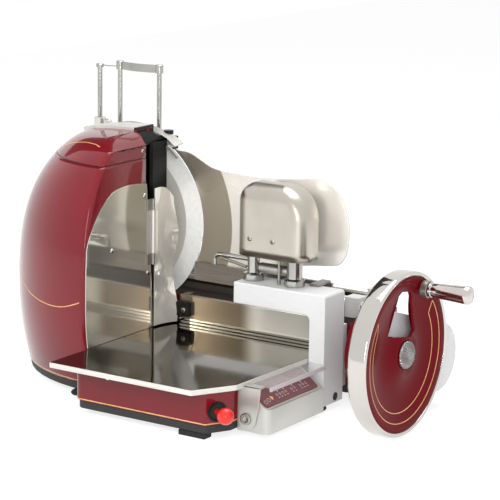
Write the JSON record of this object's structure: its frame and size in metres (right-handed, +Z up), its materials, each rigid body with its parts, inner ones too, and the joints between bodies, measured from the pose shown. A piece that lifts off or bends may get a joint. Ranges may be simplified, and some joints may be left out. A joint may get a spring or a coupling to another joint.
{
  "type": "hand crank meat slicer",
  "caption": "Upright slicer: rounded enamel tower, round blade, tray, gauge plate, sliding food table with a press, and a dished flywheel with a crank grip.",
  "frame": {"origin": "middle of the footprint, on the worktop", "axes": "+X towards the flywheel, +Y towards the back, +Z up"},
  "size_m": [0.857, 0.548, 0.494],
  "materials": {
    "body_red": "high gloss",
    "disc_red": "high gloss",
    "trim_black": "satin",
    "skirt_black": "satin",
    "mirror_steel": "mirror polished",
    "brushed_steel": "brushed",
    "satin_aluminium": "satin",
    "bright_chrome": "polished",
    "machined_steel": "machined",
    "foot_rubber": "matt",
    "label_film": "printed film",
    "clear_cover": "clear",
    "knob_red": "gloss"
  },
  "bodies": {
    "frame": {"tower_shell": "body_red", "tower_cap": "body_red", "tower_back_cover": "trim_black", "throat_cover": "trim_black", "top_plate": "brushed_steel", "wall_plate": "mirror_steel", "bed_plate": "skirt_black", "base_body": "body_red", "receiving_tray": "mirror_steel", "foot_rear_left": "foot_rubber", "foot_rear_right": "foot_rubber", "foot_front_left": "foot_rubber", "foot_front_right": "foot_rubber", "foot_portal": "foot_rubber", "front_panel": "mirror_steel", "rear_housing": "body_red", "rail_front": "bright_chrome", "rail_rear": "bright_chrome", "rail_support_left": "satin_aluminium", "rail_support_right": "satin_aluminium", "portal_frame": "satin_aluminium", "portal_brace": "satin_aluminium", "box_cover": "mirror_steel", "column_left": "bright_chrome", "column_right": "bright_chrome", "guide_bar": "brushed_steel", "console_body": "satin_aluminium", "label_panel": "label_film", "console_cover": "clear_cover", "console_bracket": "brushed_steel", "gear_case": "disc_red", "gear_case_cover": "trim_black", "drive_arm": "disc_red", "drive_belt": "foot_rubber", "bearing_stand": "satin_aluminium", "deflector_hinge": "machined_steel", "guard_strip": "brushed_steel", "guard_ring": "brushed_steel", "sharpener_body": "trim_black"},
    "flywheel": {"flywheel_rim": "bright_chrome", "flywheel_disc": "disc_red", "flywheel_shaft": "machined_steel", "hub_cap": "bright_chrome", "crank_pin": "bright_chrome"},
    "grip": {"crank_grip": "bright_chrome"},
    "idler": {"idler_gear": "machined_steel"},
    "drive_shaft": {"main_shaft": "machined_steel"},
    "lay_shaft_set": {"lay_shaft": "machined_steel"},
    "blade_set": {"blade": "mirror_steel", "blade_hub": "machined_steel"},
    "gauge": {"gauge_plate": "mirror_steel", "gauge_bar": "machined_steel"},
    "deflector": {"slice_deflector": "mirror_steel"},
    "carriage_set": {"carriage": "satin_aluminium"},
    "table": {"product_table": "brushed_steel", "press_frame": "bright_chrome", "fence_post": "bright_chrome"},
    "feed": {"feed_screw": "trim_black"},
    "press": {"press_bar": "brushed_steel"},
    "knob": {"push_knob": "knob_red"}
  },
  "joints": [
    {"name": "flywheel_turn", "type": "hinge", "parent": "frame", "child": "flywheel", "pos_m": [0.3485, -0.065, 0.13], "axis": [1, 0, 0], "continuous": true},
    {"name": "grip_turn", "type": "hinge", "parent": "flywheel", "child": "grip", "pos_m": [0.3485, -0.02029, 0.22168], "axis": [1, 0, 0], "continuous": true},
    {"name": "idler_turn", "type": "hinge", "parent": "frame", "child": "idler", "pos_m": [0.297, 0.018, 0.10748], "axis": [1, 0, 0], "continuous": true},
    {"name": "drive_shaft_turn", "type": "hinge", "parent": "frame", "child": "drive_shaft", "pos_m": [-0.0065, 0.101, 0.08497], "axis": [1, 0, 0], "continuous": true},
    {"name": "lay_shaft_turn", "type": "hinge", "parent": "frame", "child": "lay_shaft_set", "pos_m": [-0.2565, 0.027, 0.08497], "axis": [0, 1, 0], "continuous": true},
    {"name": "blade_turn", "type": "hinge", "parent": "frame", "child": "blade_set", "pos_m": [-0.2565, 0.067, 0.244], "axis": [0, 1, 0], "continuous": true},
    {"name": "gauge_slide", "type": "slide", "parent": "frame", "child": "gauge", "axis": [0, -1, 0], "range_m": [0, 0.008]},
    {"name": "deflector_swing", "type": "hinge", "parent": "frame", "child": "deflector", "pos_m": [-0.1498, -0.01, 0.198], "axis": [0, 0, -1], "range_deg": [0, 70]},
    {"name": "carriage_slide", "type": "slide", "parent": "frame", "child": "carriage_set", "axis": [1, 0, 0], "range_m": [0, 0.23]},
    {"name": "table_slide", "type": "slide", "parent": "carriage_set", "child": "table", "axis": [0, 1, 0], "range_m": [0, 0.045]},
    {"name": "feed_turn", "type": "hinge", "parent": "carriage_set", "child": "feed", "pos_m": [-0.3065, 0.197, 0.173], "axis": [0, 1, 0], "range_deg": [0, 720]},
    {"name": "press_slide", "type": "slide", "parent": "table", "child": "press", "axis": [0, 0, -1], "range_m": [0, 0.11]},
    {"name": "knob_push", "type": "slide", "parent": "frame", "child": "knob", "axis": [-0.8767, 0.4811, 0], "range_m": [0, 0.006], "stiffness_N_per_m": 400}
  ],
  "couplings": [
    {"joint": "idler_turn", "follows": "flywheel_turn", "ratio": -1},
    {"joint": "drive_shaft_turn", "follows": "flywheel_turn", "ratio": 1},
    {"joint": "lay_shaft_turn", "follows": "flywheel_turn", "ratio": -2},
    {"joint": "blade_turn", "follows": "flywheel_turn", "ratio": -4},
    {"joint": "feed_turn", "follows": "table_slide", "rad_per_m": 279.25}
  ]
}
